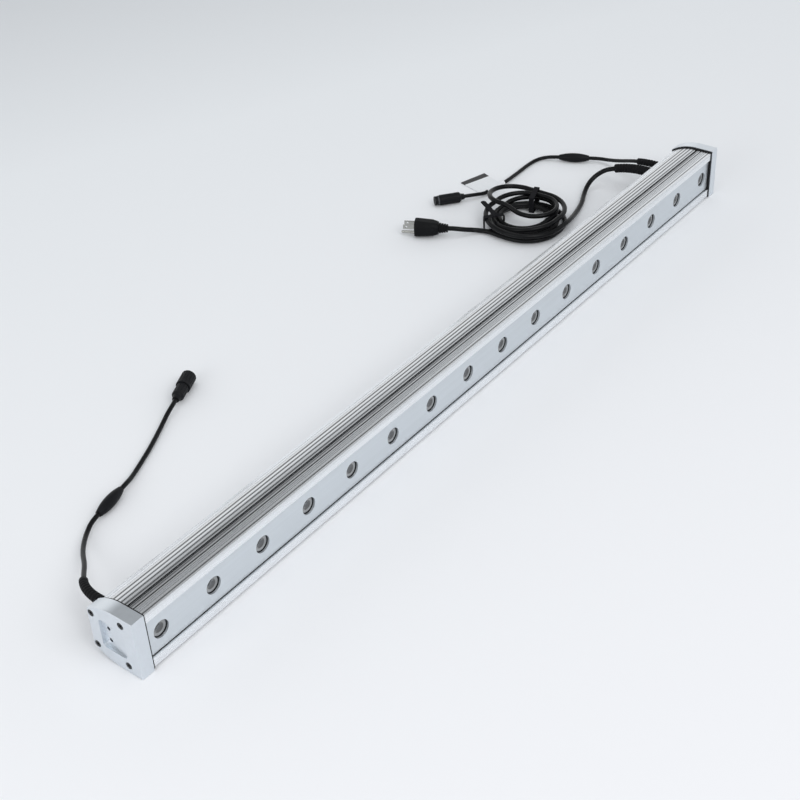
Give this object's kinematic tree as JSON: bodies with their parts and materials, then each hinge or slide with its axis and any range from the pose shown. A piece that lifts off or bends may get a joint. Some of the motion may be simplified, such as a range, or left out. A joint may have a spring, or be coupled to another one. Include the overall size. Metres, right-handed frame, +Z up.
{
  "type": "outdoor wall washer light",
  "caption": "Long aluminium bar light with recessed round lenses along one side, end caps, ribbed cable exits, signal leads with connectors and a coiled mains lead with plug.",
  "frame": {"origin": "middle of the bar's footprint, on the surface that it stands on, leads left out", "axes": "+X along the bar towards the mains lead, -Y the side that the light leaves from, +Z up"},
  "size_m": [1.2192, 0.3475, 0.076],
  "materials": {
    "extrusion_aluminium": "satin anodised",
    "cap_silver": "satin silver paint over cast aluminium",
    "gasket_rubber": "matt black",
    "black_screw": "black oxide",
    "panel_aluminium": "satin",
    "holder_plastic": "matt black",
    "lens_clear": "clear moulded",
    "led_ceramic": "matt with clear dome",
    "board_white": "white solder mask",
    "screw_steel": "plain",
    "case_aluminium": "plain",
    "circuit_green": "green solder mask",
    "gland_plastic": "black",
    "boot_rubber": "matt black",
    "cord_rubber": "black, slight sheen",
    "splice_rubber": "black moulded",
    "connector_plastic": "black moulded",
    "contact_brass": "plated",
    "seal_rubber": "black",
    "tag_paper": "white, plain black band",
    "tie_fabric": "black hook and loop strap",
    "plug_rubber": "black moulded",
    "plug_metal": "nickel plated"
  },
  "bodies": {
    "light_bar": {"board_screws": "screw_steel", "cap_screws_far": "black_screw", "cap_screws_near": "black_screw", "coil_tie_inner": "tie_fabric", "coil_tie_outer": "tie_fabric", "control_board": "circuit_green", "end_cap_far": "cap_silver", "end_cap_near": "cap_silver", "end_gasket_far": "gasket_rubber", "end_gasket_near": "gasket_rubber", "face_panel": "panel_aluminium", "housing_extrusion": "extrusion_aluminium", "label_tag": "tag_paper", "led_board_1": "board_white", "led_board_2": "board_white", "led_board_3": "board_white", "led_board_4": "board_white", "led_packages": "led_ceramic", "lens_holders": "holder_plastic", "lens_row_1": "lens_clear", "lens_row_2": "lens_clear", "lens_row_3": "lens_clear", "lens_row_4": "lens_clear", "mains_boot": "boot_rubber", "mains_cord": "cord_rubber", "mains_cord_coil": "cord_rubber", "mains_gland": "gland_plastic", "panel_seal_lower": "gasket_rubber", "panel_seal_upper": "gasket_rubber", "plug_blades": "plug_metal", "plug_body": "plug_rubber", "plug_cord": "cord_rubber", "plug_earth_pin": "plug_metal", "plug_strain_relief": "plug_rubber", "power_supply_board": "circuit_green", "power_supply_case": "case_aluminium", "signal_in_boot": "boot_rubber", "signal_in_connector": "connector_plastic", "signal_in_contact_nose": "connector_plastic", "signal_in_cord": "cord_rubber", "signal_in_end_cord": "cord_rubber", "signal_in_gland": "gland_plastic", "signal_in_seal_ring": "seal_rubber", "signal_in_splice": "splice_rubber", "signal_out_boot": "boot_rubber", "signal_out_connector": "connector_plastic", "signal_out_contacts": "contact_brass", "signal_out_cord": "cord_rubber", "signal_out_end_cord": "cord_rubber", "signal_out_gland": "gland_plastic", "signal_out_seal_ring": "seal_rubber", "signal_out_splice": "splice_rubber"},
    "ring_nut": {"coupling_nut": "connector_plastic"}
  },
  "joints": [
    {"name": "coupling_nut_turn", "type": "hinge", "parent": "light_bar", "child": "ring_nut", "pos_m": [-0.21924, 0.28549, 0.0099], "axis": [0.9041, 0.4274, 0], "continuous": true}
  ]
}
